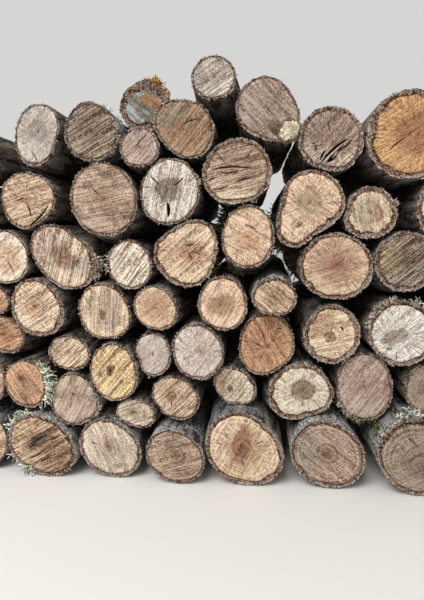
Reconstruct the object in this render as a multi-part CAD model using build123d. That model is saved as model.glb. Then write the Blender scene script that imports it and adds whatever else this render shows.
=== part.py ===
from build123d import *

# A stack of short unsplit logs, each one its own solid, seated on the logs under it.
# X runs along the stack, Y into it along the logs, and Z up. The cut ends that face the viewer
# are at the low end of Y. All sizes are millimetres, and the origin is on the floor under the
# middle of the stack.

import os
from dataclasses import dataclass, field
from math import cos, pi, radians, sin

import numpy as np

# How the logs were cut
LOG_LENGTH = 500
LENGTH_SCATTER = 9  # the saw was set by eye, so a log is up to this much longer or shorter
SAW_TILT = 1.2  # degrees that a cut may be off square
BUTT_SWELL = 0.03  # share by which the far end of a log is thicker than the near one

# How the logs lie on each other
SEAT_GAP = 0.3  # bark to bark, where a log rests on another
NEIGHBOUR_GAP = 1.5  # least space between two logs that only lie side by side
SHOULDER_DEPTH = 90  # a log has its full girth from here back, behind the line of the cut ends
SHORTEST_SHOULDER = 60  # for a log that starts far back
SEAT_SHARPNESS = 5  # the higher, the narrower the swelling that bears on the log below

# How finely an outline is worked out and drawn
OUTLINE_STEPS = 96
SPLINE_STEPS = 32

PARALLEL = 1e-9  # two directions that differ by less never meet
ANGLES = np.arange(OUTLINE_STEPS) * 2 * pi / OUTLINE_STEPS
DIRECTIONS = np.column_stack((np.cos(ANGLES), np.sin(ANGLES)))
GOLDEN_ANGLE = radians(137.5)  # spreads the small differences between the logs evenly


@dataclass
class Log:
    """One log as its near cut shows it."""

    x: float  # middle of the cut, along the stack
    z: float  # middle of the cut, above the floor
    width: float  # over the bark
    height: float
    lean: float = 0.0  # share by which the rising diagonal is longer than the falling one
    corner: float = 0.01  # share by which three soft corners stand out
    corner_at: float = 90  # degrees from X to one of the three corners
    out: float = 0.0  # how far the near cut stands out of the row
    butt: float = BUTT_SWELL
    aside: float = 0.0  # how much further to the right the far end lies
    rise: float = 0.0  # how much higher the far end lies
    rests_on: tuple = ()  # the logs that carry it; a log with none lies on the floor
    name: str = ""
    far: float = 0.0  # where the far cut crosses the middle of the log
    sections: list = field(default_factory=list)


STACK = {
    "floor_log": [
        Log(-741, 71, 142, 140, corner=0.02, out=6),
        Log(-600, 67, 135, 136, corner=0.02, corner_at=40),
        Log(-447, 70, 152, 140, lean=-0.09, out=20),
        Log(-301, 66, 140, 133, lean=-0.09, out=10),
        Log(-157, 60, 127, 118, lean=-0.07, out=25),
        Log(-15, 79, 167, 160, lean=-0.08, corner=0.03, out=20),
        Log(158, 73, 155, 147, lean=-0.07, out=15),
        Log(333, 82, 164, 162, lean=-0.06, out=30),
        Log(493, 68, 130, 136, corner=0.02, corner_at=20, out=4),
    ],
    "second_row_log": [
        Log(-702, 192, 116, 112, corner=0.02, corner_at=60, rests_on=("floor_log_1",)),
        Log(-584, 206, 110, 124, lean=0.03, rests_on=("floor_log_2", "second_row_log_1")),
        Log(-481, 204, 96, 106, lean=-0.05, corner=0.02, corner_at=300, out=10,
            rests_on=("floor_log_3", "second_row_log_2")),
        Log(-373, 167, 110, 124, lean=-0.04, corner=0.04, corner_at=210, out=10,
            rests_on=("floor_log_3", "floor_log_4")),
        Log(-245, 142, 89, 66, lean=-0.06, rests_on=("floor_log_4", "floor_log_5")),
        Log(-162, 174, 108, 98, lean=-0.07, out=-15, rests_on=("second_row_log_5", "floor_log_5")),
        Log(-33, 200, 90, 96, lean=-0.12, corner=0.02, corner_at=150, out=-15,
            rests_on=("floor_log_6",)),
        Log(103, 193, 136, 128, lean=-0.02, corner=0.02, out=-10,
            rests_on=("floor_log_6", "floor_log_7")),
        Log(230, 211, 117, 145, lean=-0.02, out=-10, rests_on=("floor_log_7", "floor_log_8")),
        Log(358, 214, 104, 112, rests_on=("floor_log_8", "second_row_log_11")),
        Log(452, 184, 104, 118, corner=0.02, corner_at=160, rests_on=("floor_log_8", "floor_log_9")),
    ],
    "third_row_log": [
        Log(-640, 306, 112, 114, corner=0.02, corner_at=30,
            rests_on=("second_row_log_1", "second_row_log_2")),
        Log(-535, 307, 98, 84, lean=-0.06, out=-10, rests_on=("second_row_log_2", "second_row_log_3")),
        Log(-383, 273, 92, 77, lean=-0.03, out=5, rests_on=("second_row_log_4", "third_row_log_4")),
        Log(-287, 234, 105, 127, lean=-0.02, out=10, rests_on=("second_row_log_4", "second_row_log_5")),
        Log(-209, 270, 85, 99, lean=0.02, out=-5, rests_on=("third_row_log_4", "second_row_log_6")),
        Log(-111, 280, 114, 120, lean=-0.05, out=5, rests_on=("second_row_log_6", "second_row_log_7")),
        Log(31, 294, 118, 138, out=-10, butt=0.06, rests_on=("second_row_log_7", "second_row_log_8")),
        Log(160, 322, 115, 123, butt=0.06, aside=-6, rests_on=("second_row_log_8", "second_row_log_9")),
        Log(292, 327, 132, 136, corner=0.01, corner_at=330, out=10,
            rests_on=("second_row_log_9", "second_row_log_10")),
        Log(426, 314, 120, 132, corner=0.02, corner_at=10,
            rests_on=("second_row_log_10", "second_row_log_11")),
    ],
    "fourth_row_log": [
        Log(-644, 437, 136, 132, corner=0.02, corner_at=80,
            rests_on=("third_row_log_1", "fourth_row_log_2")),
        Log(-549, 381, 79, 73, rests_on=("third_row_log_2", "fourth_row_log_3")),
        Log(-446, 369, 116, 124, lean=-0.05, corner=0.02, corner_at=340, out=10,
            rests_on=("third_row_log_2", "third_row_log_3")),
        Log(-304, 360, 113, 125, lean=-0.05, out=5, rests_on=("third_row_log_3", "third_row_log_4")),
        Log(-196, 372, 93, 93, lean=-0.05, out=10, butt=0.25, aside=6,
            rests_on=("third_row_log_5", "third_row_log_6")),
        Log(-60, 381, 103, 115, butt=0.12, aside=-6, rests_on=("third_row_log_6", "third_row_log_7")),
        Log(43, 398, 88, 81, out=25, butt=0.14, aside=4, rise=20,
            rests_on=("third_row_log_7", "fourth_row_log_6")),
        Log(163, 458, 145, 133, lean=-0.02, out=5, aside=-4,
            rests_on=("third_row_log_8", "fourth_row_log_9")),
        Log(293, 468, 116, 119, out=5, rests_on=("third_row_log_9", "fourth_row_log_10")),
        Log(410, 438, 108, 114, corner=0.02, corner_at=50, rests_on=("third_row_log_10",)),
    ],
    "fifth_row_log": [
        Log(-584, 567, 122, 120, corner=0.02, corner_at=110,
            rests_on=("fourth_row_log_1", "fifth_row_log_2")),
        Log(-518, 473, 114, 114, corner=0.02, corner_at=80,
            rests_on=("fourth_row_log_2", "fourth_row_log_3")),
        Log(-391, 473, 140, 129, lean=-0.17, corner=0.04, corner_at=10, out=-5,
            rests_on=("fourth_row_log_3", "fourth_row_log_4")),
        Log(-250, 459, 96, 103, lean=-0.03, rests_on=("fourth_row_log_4", "fourth_row_log_5")),
        Log(-132, 480, 135, 138, lean=0.04, corner=0.08, corner_at=56, out=5,
            rests_on=("fourth_row_log_5", "fourth_row_log_6")),
        Log(-10, 516, 107, 126, out=-5, butt=0.08, aside=4, rests_on=("fourth_row_log_6", "fourth_row_log_7")),
        Log(104, 566, 129, 157, lean=0.16, corner=0.08, corner_at=240, out=5,
            rests_on=("fifth_row_log_6", "fourth_row_log_8")),
        Log(221, 560, 112, 104, lean=0.01, corner=0.02, corner_at=330,
            rests_on=("fourth_row_log_8", "fourth_row_log_9")),
        Log(378, 571, 138, 141, rests_on=("fourth_row_log_9", "fourth_row_log_10")),
    ],
    "sixth_row_log": [
        Log(-572, 683, 114, 106, corner=0.02, corner_at=200, rests_on=("fifth_row_log_1",)),
        Log(-458, 588, 116, 122, corner=0.03, corner_at=260,
            rests_on=("fifth_row_log_2", "fifth_row_log_3")),
        Log(-297, 589, 140, 147, lean=-0.03, out=10, rests_on=("fifth_row_log_3", "fifth_row_log_4")),
        Log(-166, 603, 125, 134, lean=0.03, rests_on=("fifth_row_log_5", "sixth_row_log_3")),
        Log(-32, 638, 137, 134, lean=0.01, corner=0.01, corner_at=60, out=5,
            rests_on=("fifth_row_log_6", "sixth_row_log_4")),
        Log(144, 695, 123, 130, corner_at=250, out=5, rests_on=("fifth_row_log_7",)),
        Log(287, 703, 165, 163, corner_at=200, out=10, rests_on=("fifth_row_log_9", "sixth_row_log_6")),
    ],
    "top_row_log": [
        Log(-433, 718, 93, 121, lean=0.09, corner=0.02, corner_at=270, rests_on=("sixth_row_log_2",)),
        Log(-320, 718, 109, 117, lean=-0.02, corner=0.02, out=5,
            rests_on=("sixth_row_log_3", "top_row_log_1")),
        Log(-225, 690, 83, 80, corner=0.02, corner_at=200, rests_on=("sixth_row_log_3", "sixth_row_log_4")),
        Log(-136, 723, 123, 114, lean=-0.08, corner=0.04, corner_at=40, out=5,
            rests_on=("sixth_row_log_4", "sixth_row_log_5")),
        Log(26, 754, 122, 119, lean=-0.10, corner=0.04, corner_at=320, out=5,
            rests_on=("sixth_row_log_5", "sixth_row_log_6")),
        Log(-78, 816, 88, 83, rests_on=("top_row_log_4", "top_row_log_5")),
        Log(-232, 790, 112, 108, corner=0.03, corner_at=70, out=-90,
            rests_on=("top_row_log_2", "top_row_log_4")),
    ],
}

# The logs of the two ends of the stack share a node each
END_NODES = {
    "left_end_logs": ("floor_log_1", "second_row_log_1", "third_row_log_1", "fourth_row_log_1",
                      "fifth_row_log_1"),
    "right_end_logs": ("floor_log_9", "second_row_log_11", "third_row_log_10", "fourth_row_log_10"),
}


def radii(log):
    """Distance from the middle of the cut to the bark, all round."""
    mean = (log.width + log.height) / 4
    oval = (log.width - log.height) / (log.width + log.height)
    shape = 1 + oval * np.cos(2 * ANGLES) + log.lean * np.sin(2 * ANGLES)
    shape += log.corner * np.cos(3 * (ANGLES - radians(log.corner_at)))
    return mean * shape


def swelling(angle):
    """A soft hump of height 1 that points one way, as seen from the middle of the log."""
    return np.exp(SEAT_SHARPNESS * (np.cos(ANGLES - angle) - 1))


def middle_at(log, depth):
    """The middle of a log at a depth in the stack, as it runs straight from its near cut."""
    share = (depth + log.out) / LOG_LENGTH
    return np.array((log.x + log.aside * share, log.z + log.rise * share))


def outline_at(log, depth):
    """The closed outline of a placed log at a depth in the stack, on the run of its sections."""
    depths = [section_depth for section_depth, _ in log.sections]
    index = int(np.clip(np.searchsorted(depths, depth), 1, len(depths) - 1))
    near, far = log.sections[index - 1], log.sections[index]
    share = max((depth - near[0]) / (far[0] - near[0]), 0)
    reach = near[1] * (1 - share) + far[1] * share
    return middle_at(log, depth) + DIRECTIONS * reach[:, None]


def grown(points, gap):
    """The outline moved outwards by a gap."""
    along = np.roll(points, -1, axis=0) - np.roll(points, 1, axis=0)
    outward = np.column_stack((along[:, 1], -along[:, 0]))
    return points + gap * outward / np.linalg.norm(outward, axis=1)[:, None]


def reach_to(points, middle):
    """How far each ray from the middle of a log goes before it meets an outline."""
    start = points - middle
    along = np.roll(start, -1, axis=0) - start
    cross = DIRECTIONS[:, None, 0] * along[None, :, 1] - DIRECTIONS[:, None, 1] * along[None, :, 0]
    cross = np.where(np.abs(cross) < PARALLEL, PARALLEL, cross)
    distance = (start[:, 0] * along[:, 1] - start[:, 1] * along[:, 0])[None, :] / cross
    place = (start[None, :, 0] * DIRECTIONS[:, None, 1] - start[None, :, 1] * DIRECTIONS[:, None, 0]) / cross
    met = (place >= 0) & (place <= 1) & (distance > 0)
    reach = np.where(met, distance, np.inf).min(axis=1)
    # A ray that only just misses the outline is held back like the one beside it
    beside = np.minimum(np.roll(reach, 1), np.roll(reach, -1))
    return np.where(np.isinf(reach), beside, reach)


def reach_to_floor(middle):
    """How far each ray from the middle of a log goes before it meets the floor."""
    down = -DIRECTIONS[:, 1]
    return np.where(down > PARALLEL, middle[1] / np.maximum(down, PARALLEL), np.inf)


def bearings(log, depth, placed):
    """What a log bears on or lies beside at a depth: the reach to it and whether it carries the log."""
    middle = middle_at(log, depth)
    found = []
    if not log.rests_on:
        found.append((reach_to_floor(middle), True))
    for other in placed:
        carries = other.name in log.rests_on
        near_enough = (log.width + log.height + other.width + other.height) / 2
        if abs(other.x - log.x) < near_enough and abs(other.z - log.z) < near_enough:
            gap = SEAT_GAP if carries else NEIGHBOUR_GAP
            found.append((reach_to(grown(outline_at(other, depth), gap), middle), carries))
    return found


def balanced(girth, humps):
    """The height of each hump at which the outline just meets what that hump points at."""
    heights = np.zeros(len(humps))
    for _ in range(8):
        for index, (reach, hump, carries) in enumerate(humps):
            others = girth + sum(heights[k] * humps[k][1] for k in range(len(humps)) if k != index)
            height = ((reach - others) / hump).min()
            heights[index] = height if carries else min(height, 0)
    return heights


def fitted(girth, surroundings):
    """The outline let out to touch what carries it, and drawn in where a neighbour lies in the way."""
    humps = []
    for reach, carries in surroundings:
        if carries:
            humps.append((reach, swelling(ANGLES[int(np.argmin(reach - girth))]), True))
    heights = balanced(girth, humps)
    for reach, carries in surroundings:
        shape = girth + sum(height * hump for height, (_, hump, _) in zip(heights, humps))
        gap = reach - shape
        if not carries and gap.min() < 0:
            humps.append((reach, swelling(ANGLES[int(np.argmin(gap))]), False))
            heights = balanced(girth, humps)
    full = girth + sum(height * hump for height, (_, hump, _) in zip(heights, humps))
    clear = girth + sum(min(height, 0) * hump for height, (_, hump, _) in zip(heights, humps))
    return full, clear


def seat(log, number, placed):
    """Works out the sections of a log and where its far cut is.

    The last section of every log is worked out at one depth, so that logs that touch there touch
    all the way from their shoulders back.
    """
    near = -log.out
    log.far = near + LOG_LENGTH + LENGTH_SCATTER * cos(number * GOLDEN_ANGLE)
    shoulder = max(SHOULDER_DEPTH, near + SHORTEST_SHOULDER)
    girth = radii(log)
    shoulder_girth = girth * (1 + log.butt * (shoulder - near) / LOG_LENGTH)
    shoulder_full, shoulder_clear = fitted(shoulder_girth, bearings(log, shoulder, placed))
    back_full, _ = fitted(girth * (1 + log.butt), bearings(log, LOG_LENGTH, placed))
    near_girth = girth + np.minimum(shoulder_clear - shoulder_girth, 0)
    in_the_way = [(reach, False) for reach, _ in bearings(log, near, placed)]
    near_clear, _ = fitted(near_girth, in_the_way)
    log.sections = [(near, near_clear), (shoulder, shoulder_full), (LOG_LENGTH, back_full)]


def named_logs():
    """The logs of the stack with their names, each one after the logs that carry it."""
    waiting = []
    for row, logs in STACK.items():
        for number, log in enumerate(logs, start=1):
            log.name = f"{row}_{number}"
            waiting.append(log)
    ordered = []
    while waiting:
        laid = {log.name for log in ordered}
        log = next(log for log in waiting if laid.issuperset(log.rests_on))
        waiting.remove(log)
        ordered.append(log)
    return ordered


def log_solid(log, number, middle_x, middle_y):
    """The log as one solid, lofted from its near cut over its shoulder to its far cut."""
    step = OUTLINE_STEPS // SPLINE_STEPS
    near, shoulder = log.sections[0][0], log.sections[1][0]
    wires = []
    for depth, tilt, turn in (
        (near, radians(SAW_TILT), number * GOLDEN_ANGLE),
        (shoulder, 0, 0),
        (log.far, radians(SAW_TILT), (number + 2) * GOLDEN_ANGLE),
    ):
        points = []
        middle = middle_at(log, depth)
        for x, z in outline_at(log, depth)[::step]:
            slope = tilt * ((x - middle[0]) * cos(turn) + (z - middle[1]) * sin(turn))
            points.append((x - middle_x, depth + slope - middle_y, z))
        wires.append(Wire([Edge.make_spline(points, periodic=True)]))
    return Solid.make_loft(wires, ruled=True)


def main():
    placed = []
    for number, log in enumerate(named_logs()):
        seat(log, number, placed)
        placed.append(log)
    ends = [outline_at(log, depth)[:, 0] for log in placed for depth in (log.sections[1][0], log.far)]
    left, right = min(end.min() for end in ends), max(end.max() for end in ends)
    nearest = min(log.sections[0][0] for log in placed)
    farthest = max(log.far for log in placed)
    middle_x, middle_y = (left + right) / 2, (nearest + farthest) / 2
    solids = {}
    for number, log in enumerate(placed):
        solids[log.name] = log_solid(log, number, middle_x, middle_y)
    shared = {name: node for node, names in END_NODES.items() for name in names}
    nodes = {}
    for name, solid in solids.items():
        nodes.setdefault(shared.get(name, name), []).append(solid)
    os.makedirs("parts", exist_ok=True)
    for node, pieces in nodes.items():
        export_step(Compound(children=pieces) if len(pieces) > 1 else pieces[0], f"parts/{node}.step")


main()
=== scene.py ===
import math
import random

import bmesh
import bpy
from mathutils import Matrix, Vector, noise
from mathutils.bvhtree import BVHTree


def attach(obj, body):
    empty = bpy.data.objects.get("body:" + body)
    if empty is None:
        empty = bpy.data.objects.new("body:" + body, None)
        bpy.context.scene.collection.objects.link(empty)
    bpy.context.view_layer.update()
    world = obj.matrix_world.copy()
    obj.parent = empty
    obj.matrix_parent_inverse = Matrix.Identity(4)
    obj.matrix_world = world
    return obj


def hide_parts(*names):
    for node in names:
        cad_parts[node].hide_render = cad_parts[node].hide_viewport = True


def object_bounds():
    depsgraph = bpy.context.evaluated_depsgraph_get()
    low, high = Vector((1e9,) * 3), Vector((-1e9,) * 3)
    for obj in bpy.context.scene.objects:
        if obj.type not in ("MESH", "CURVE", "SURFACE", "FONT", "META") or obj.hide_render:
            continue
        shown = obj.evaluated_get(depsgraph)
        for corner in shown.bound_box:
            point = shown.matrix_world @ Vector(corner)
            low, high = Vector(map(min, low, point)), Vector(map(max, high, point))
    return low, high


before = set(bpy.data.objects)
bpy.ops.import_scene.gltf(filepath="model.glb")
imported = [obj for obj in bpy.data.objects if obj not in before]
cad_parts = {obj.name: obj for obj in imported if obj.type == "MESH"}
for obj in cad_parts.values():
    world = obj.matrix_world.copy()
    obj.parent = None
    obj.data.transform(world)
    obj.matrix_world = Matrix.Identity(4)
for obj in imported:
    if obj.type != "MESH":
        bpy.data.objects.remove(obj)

cad_low, cad_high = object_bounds()

# The bottom row of logs
# Short lengths of hardwood, felled, cut to length with a chainsaw and left unsplit with the bark on.
# The thickest ones lie on the ground, where moss and lichen take hold of the bark.
MM = 1000  # millimetres in a metre: piths, cracks, marks and tufts are given in millimetres
STRIPS = 180  # strips of bark round a log
BARK = 0.0052  # thickness of the bark
FURROW = 0.0032  # depth of the furrows in it
RAGGED = 0.0022  # depth of the small breaks all over it
GROOVE = 0.0018  # depth of the dark line between bark and wood
WAVE = 0.0012  # how far a saw cut is from flat

# Rings of a cut end, from the pith at 0 to the last wood at 1 and the outside of the bark at 2
GROOVE_RING = 1.06
NEAR_RINGS = (0, 0.25, 0.5, 0.72, 0.9, 0.985, GROOVE_RING, 1.3, 1.65, 1.92, 2)
FAR_RINGS = (2, 1.9, 1.5, GROOVE_RING, 0.98, 0.6, 0)
# Rings along the bark, as shares of the length
BARK_RINGS = (0.004, 0.012, 0.026, 0.05, *(0.085 + 0.058 * step for step in range(16)), 0.985)
# A log's materials in their order
CUT_FACE, RIM_FACE, BARK_FACE, CRACK_FACE = range(4)


def linear(part):
    """One part of a screen colour, from 0 to 1, in linear light."""
    if part > 0.04:
        return ((part + 0.055) / 1.055) ** 2.4
    return part / 12.92


def paint(tone):
    """A colour as the eye picks it, such as "c8b49f", in the linear light that the shaders want."""
    return (*(linear(int(tone[index:index + 2], 16) / 255) for index in (0, 2, 4)), 1)


def feed(tree, value, socket):
    """Links an output to a socket, or sets the socket to a plain value."""
    if isinstance(value, bpy.types.NodeSocket):
        tree.links.new(value, socket)
    else:
        socket.default_value = value


def shade(tree, kind, *inputs, output=0, **settings):
    """Adds one shader node, with its settings and its inputs, and gives back one of its outputs."""
    node = tree.nodes.new("ShaderNode" + kind)
    for name, value in settings.items():
        setattr(node, name, value)
    for index, value in enumerate(inputs):
        if value is not None:
            feed(tree, value, node.inputs[index])
    return node.outputs[output]


def sums(tree, operation, *values):
    """Arithmetic on one to three numbers or outputs."""
    return shade(tree, "Math", *values, operation=operation)


def blend(tree, share, first, second, way="MIX"):
    """A colour between two others."""
    node = tree.nodes.new("ShaderNodeMix")
    node.data_type = "RGBA"
    node.blend_type = way
    node.clamp_result = True
    # Sockets 6 and 7 are the node's two colours, and output 2 is the colour it makes
    for index, value in ((0, share), (6, first), (7, second)):
        feed(tree, value, node.inputs[index])
    return node.outputs[2]


def rise(tree, value, low, high, bottom=0.0, top=1.0):
    """A soft step from bottom to top while the value goes from low to high."""
    return shade(tree, "MapRange", value, low, high, bottom, top, interpolation_type="SMOOTHSTEP")


def grain(tree, place, scale, detail=2.0, roughness=0.5, dimensions=3):
    """Soft noise from 0 to 1 over a place, or over a number where it has one dimension."""
    node = tree.nodes.new("ShaderNodeTexNoise")
    node.noise_dimensions = f"{dimensions}D"
    tree.links.new(place, node.inputs["W" if dimensions == 1 else "Vector"])
    node.inputs["Scale"].default_value = scale
    node.inputs["Detail"].default_value = detail
    node.inputs["Roughness"].default_value = roughness
    return node.outputs[0]


def winding_lines(tree, cloud):
    """How far soft noise is from its middle value, which is near 0 along thin winding lines."""
    return sums(tree, "ABSOLUTE", sums(tree, "SUBTRACT", cloud, 0.5))


UNCHANGED = 1000  # a pattern stretched this far is the same all along the log


def stretched(tree, place, middle, turn, across, along):
    """The place on a cut measured across and along a direction, turn degrees above the level."""
    turned = (0, -math.radians(turn), 0)
    return shade(tree, "Mapping", place, (middle[0], 0, middle[1]), turned, (along, UNCHANGED, across),
                 vector_type="TEXTURE")


def material(name, roughness):
    """A new material with its shader's roughness set, its tree and its shader."""
    made = bpy.data.materials.new(name)
    made.use_nodes = True
    shader = made.node_tree.nodes["Principled BSDF"]
    shader.inputs["Roughness"].default_value = roughness
    shader.inputs["Specular IOR Level"].default_value = 0.25
    return made, made.node_tree, shader


def coat(tree, shader, colour, height=None, depth=0.0):
    """Gives a material its colour, and fine relief that follows a height from 0 to 1, depth metres deep."""
    tree.links.new(colour, shader.inputs["Base Color"])
    if height is not None:
        node = tree.nodes.new("ShaderNodeBump")
        node.inputs["Distance"].default_value = depth
        tree.links.new(height, node.inputs["Height"])
        tree.links.new(node.outputs[0], shader.inputs["Normal"])


def bark_material(name, ridge, furrow, lichen, cover):
    """Furrowed bark: ridges, furrows and hairline cracks darkened with painted shade, flaking edges with
    painted highlights and shadows, and flecks of lichen, cover of it from 0 to 1.
    """
    made, tree, shader = material(name, 0.92)
    place = shade(tree, "TexCoord", output="Object")
    set_back = shade(tree, "SeparateXYZ", shade(tree, "UVMap", uv_map="ring"), output="Y")
    ridges = grain(tree, shade(tree, "Mapping", place, None, None, (1, 0.13, 1)), 70, 4, 0.65)
    flakes = grain(tree, shade(tree, "Mapping", place, None, None, (1, 0.35, 1)), 190, 2, 0.6)
    specks = grain(tree, place, 240, 2, 0.7)
    patches = grain(tree, place, 15, 3, 0.6)

    # Painted shade: dark where the bark's own shape is deep, with small ridges that break the furrows up
    deep = sums(tree, "MULTIPLY_ADD", ridges, -1.8, set_back)
    colour = blend(tree, rise(tree, deep, -0.75, -0.2), paint(ridge), paint(furrow))
    # Painted shadow along thin hairline cracks between the small ridges
    crack_shadow = rise(tree, winding_lines(tree, ridges), 0.008, 0.03, 0.75, 0)
    colour = blend(tree, crack_shadow, colour, paint("1f1916"))

    # Flakes catch the light on one side and hide it on the other
    colour = blend(tree, rise(tree, flakes, 0.36, 0.46, 0.6, 0), colour, paint("9a9188"))
    colour = blend(tree, rise(tree, flakes, 0.58, 0.66, 0, 0.6), colour, paint("2a221d"))

    # Lichen grows in patches of small flecks
    bare = 0.74 - 0.34 * cover
    grown = sums(tree, "MULTIPLY", rise(tree, specks, 0.52, 0.57), rise(tree, patches, bare, bare + 0.12))
    colour = blend(tree, grown, colour, paint(lichen))
    coat(tree, shader, colour, sums(tree, "MULTIPLY_ADD", flakes, -0.5, ridges), 0.008)
    return made


DARK_BARK = bark_material("dark_bark", "7d736a", "3a302a", "b4b7b3", 0.6)
LICHEN_BARK = bark_material("lichen_bark", "858280", "3d3833", "cdd1cb", 0.95)


def bark_edge_material():
    """Bark sawn across: a dark line next to the wood, then red-brown cork, then the flaking outside, with
    painted shade and highlights on the cork's relief.
    """
    made, tree, shader = material("bark_edge", 0.9)
    place = shade(tree, "TexCoord", output="Object")
    ring = shade(tree, "SeparateXYZ", shade(tree, "UVMap", uv_map="ring"))
    cork = grain(tree, place, 240, 2, 0.7)
    specks = grain(tree, place, 260, 2, 0.7)
    patches = grain(tree, place, 30, 3, 0.6)
    layer = sums(tree, "MULTIPLY_ADD", cork, 0.9, ring)
    colour = blend(tree, rise(tree, patches, 0.42, 0.58), paint("6b4a3a"), paint("8d7767"))
    colour = blend(tree, rise(tree, layer, 1.5, 1.62, 1, 0), colour, paint("38231a"))
    # Painted shade in the low spots of the cork's relief, and painted highlights on its high spots
    colour = blend(tree, rise(tree, cork, 0.42, 0.47, 0.8, 0), colour, paint("241812"))
    colour = blend(tree, rise(tree, cork, 0.55, 0.6, 0, 0.7), colour, paint("b09a88"))
    outside = sums(tree, "MULTIPLY", rise(tree, ring, 1.55, 1.9), rise(tree, specks, 0.5, 0.56))
    colour = blend(tree, outside, colour, paint("c6bdb4"))
    coat(tree, shader, colour, cork, 0.004)
    return made


def crack_material():
    """The walls of a drying crack, in shadow and grey with dust."""
    made, tree, shader = material("drying_crack", 0.95)
    dust = grain(tree, shade(tree, "TexCoord", output="Object"), 120, 3)
    coat(tree, shader, blend(tree, dust, paint("1c120c"), paint("4a3425")))
    return made


BARK_EDGE = bark_edge_material()
CRACK = crack_material()

# Tones of the sawn wood: sapwood, heartwood, and the stain that weather has left on it
TONES = {
    "ivory": ("f0e1cd", "cdb093", "b5a28b"),
    "white": ("f4ede2", "d8ccbe", "b9afa2"),
    "overgrown": ("7d7a74", "55504a", "3d3833"),
    "ash": ("dccdba", "bba58f", "9a8b7a"),
    "cream": ("e4ccb0", "bd9873", "a68d72"),
    "peach": ("e3c5a8", "b3856a", "9c7c62"),
    "yellow": ("efd1a0", "b8884f", "94774f"),
    "tan": ("d0b498", "a07b59", "86705d"),
    "honey": ("c99a64", "996540", "7d6048"),
    "orange": ("d0a47e", "a5734f", "7c5540"),
    "pink": ("d2c4bb", "a48f83", "8d7b70"),
    "dusty": ("c6b2a0", "9d8270", "86705f"),
    "mauve": ("b59f93", "8d7264", "75655d"),
    "brown": ("b59c88", "8a6b56", "6a5645"),
    "umber": ("9a8878", "766151", "5c4d42"),
    "grey": ("dbd4cb", "a1988e", "8b8379"),
}


def marked(tree, colour, place, middle, mark):
    """Adds a ragged oval mark to a cut, given as (across, up, width, height, lean, tone, strength)."""
    across, up, width, height, lean, tone, strength = mark
    centre = (middle[0] + across / MM, middle[1] + up / MM)
    oval = stretched(tree, place, centre, lean, height / (2 * MM), width / (2 * MM))
    far = shade(tree, "VectorMath", oval, operation="LENGTH", output="Value")
    ragged = sums(tree, "MULTIPLY_ADD", grain(tree, place, 40 + 1100 / width, 4, 0.75), 1.6, far)
    rim = 1.85
    soft = 0.12 + width / 300
    return blend(tree, rise(tree, ragged, rim - soft, rim + soft, strength, 0), colour, paint(tone))


def saw_lines(tree, place, patches, middle, turn):
    """What the chain left across a cut: fine lines, deeper gouges and broad bands, all a little bent."""
    drift = shade(tree, "CombineXYZ", patches, 0.0, patches)
    bent = shade(tree, "VectorMath", drift, (0.011, 0, 0.011), place, operation="MULTIPLY_ADD")
    lines = grain(tree, stretched(tree, bent, middle, turn, across=0.0036, along=0.13), 1, 2, 0.5)
    gouges = grain(tree, stretched(tree, bent, middle, turn + 3, across=0.008, along=0.16), 1, 1, 0.5)
    bands = grain(tree, stretched(tree, bent, middle, turn + 8, across=0.03, along=0.07), 1, 2, 0.5)
    return lines, gouges, bands


def rays_and_splits(tree, from_pith, radius):
    """What runs out from the pith: many fine rays, and fewer fine splits."""
    outward = shade(tree, "VectorMath", from_pith, operation="NORMALIZE")
    sideways = shade(tree, "SeparateXYZ", outward, output="X")
    upward = shade(tree, "SeparateXYZ", outward, output="Y")
    spokes = shade(tree, "CombineXYZ", sideways, upward, sums(tree, "MULTIPLY", radius, 2.2))
    return grain(tree, spokes, 27, 2, 0.6), grain(tree, spokes, 7, 2, 0.6)


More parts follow.
